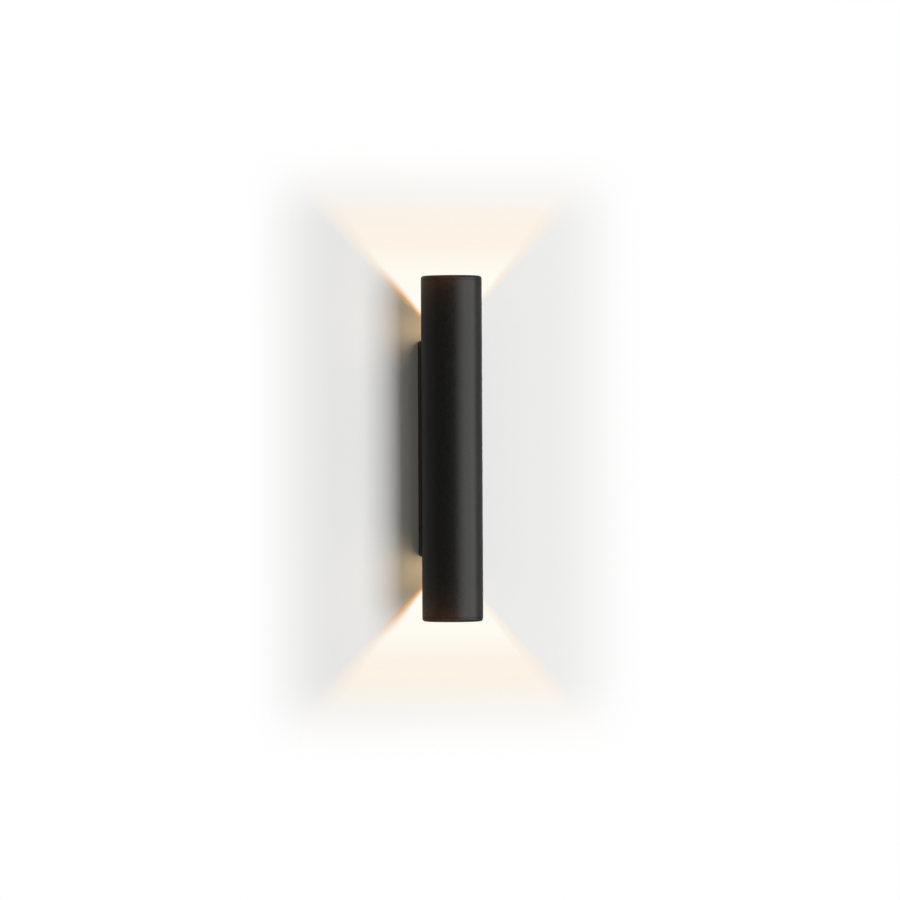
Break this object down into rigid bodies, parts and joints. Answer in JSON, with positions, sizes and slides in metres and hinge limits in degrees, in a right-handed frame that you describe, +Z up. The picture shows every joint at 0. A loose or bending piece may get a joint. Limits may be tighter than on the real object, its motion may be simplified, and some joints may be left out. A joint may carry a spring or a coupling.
{
  "type": "wall light",
  "caption": "Slim black tube wall light on a shallow back box, lighting the wall above and below through open hooded ends.",
  "frame": {"origin": "centre of the two wall-screw slots, on the wall plane", "axes": "+Z up along the tube, +Y into the wall, -Y out into the room, +X to the right of a person facing the wall"},
  "size_m": [0.06, 0.074, 0.34],
  "materials": {
    "black_powder_coat": "satin fine-textured powder coat on aluminium",
    "black_anodised": "matt black anodised",
    "black_oxide_steel": "black oxide",
    "zinc_plated_steel": "bright zinc plate",
    "mill_aluminium": "as extruded",
    "bright_aluminium": "bright spun and anodised",
    "white_polycarbonate": "moulded satin",
    "natural_nylon": "moulded, slightly translucent",
    "circuit_board": "solder mask",
    "ferrite_core": "sintered",
    "capacitor_sleeve": "shrink sleeve",
    "led_board": "white solder mask on metal core",
    "led_phosphor": "silicone with phosphor, lit warm white",
    "clear_glass": "clear toughened",
    "grey_silicone": "matt",
    "black_rubber": "matt",
    "tinned_brass": "tin plated",
    "blue_wire": "PVC insulation",
    "brown_wire": "PVC insulation",
    "green_yellow_wire": "PVC insulation, striped",
    "red_wire": "silicone insulation",
    "black_wire": "silicone insulation"
  },
  "bodies": {
    "bracket": {"wall_bracket": "zinc_plated_steel"},
    "fixture": {"back_box": "black_powder_coat", "body_tube": "black_powder_coat", "end_ring_top": "black_powder_coat", "end_ring_bottom": "black_powder_coat", "hanger_bars": "zinc_plated_steel", "hanger_screws": "zinc_plated_steel", "holder_screws": "zinc_plated_steel", "heat_sink_screws": "zinc_plated_steel", "driver_carrier": "mill_aluminium", "carrier_screws": "zinc_plated_steel", "driver_base": "white_polycarbonate", "driver_cover": "white_polycarbonate", "driver_board": "circuit_board", "driver_transformer": "ferrite_core", "driver_capacitors": "capacitor_sleeve", "driver_screws": "zinc_plated_steel", "cable_grommet": "black_rubber", "terminal_block": "natural_nylon", "terminal_screws": "zinc_plated_steel", "terminal_block_screws": "zinc_plated_steel", "earth_tag": "tinned_brass", "earth_screw": "tinned_brass", "neutral_lead": "blue_wire", "line_lead": "brown_wire", "earth_lead": "green_yellow_wire", "heat_sink_top": "mill_aluminium", "heat_sink_bottom": "mill_aluminium", "thermal_pad_top": "grey_silicone", "thermal_pad_bottom": "grey_silicone", "led_board_top": "led_board", "led_board_bottom": "led_board", "led_emitter_top": "led_phosphor", "led_emitter_bottom": "led_phosphor", "cob_holder_top": "white_polycarbonate", "cob_holder_bottom": "white_polycarbonate", "reflector_top": "bright_aluminium", "reflector_bottom": "bright_aluminium", "glass_top": "clear_glass", "glass_bottom": "clear_glass", "glass_seal_top": "grey_silicone", "glass_seal_bottom": "grey_silicone", "bezel_top": "black_anodised", "bezel_bottom": "black_anodised", "led_lead_plus_top": "red_wire", "led_lead_plus_bottom": "red_wire", "led_lead_minus_top": "black_wire", "led_lead_minus_bottom": "black_wire"},
    "left_lock": {"lock_screw_left": "black_oxide_steel"},
    "right_lock": {"lock_screw_right": "black_oxide_steel"}
  },
  "joints": [
    {"name": "fixture_lift", "type": "slide", "parent": "bracket", "child": "fixture", "axis": [0, 0, 1], "range_m": [0, 0.009]},
    {"name": "left_lock_turn_out", "type": "slide", "parent": "fixture", "child": "left_lock", "axis": [-1, 0, 0], "range_m": [0, 0.003]},
    {"name": "right_lock_turn_out", "type": "slide", "parent": "fixture", "child": "right_lock", "axis": [1, 0, 0], "range_m": [0, 0.003]}
  ]
}
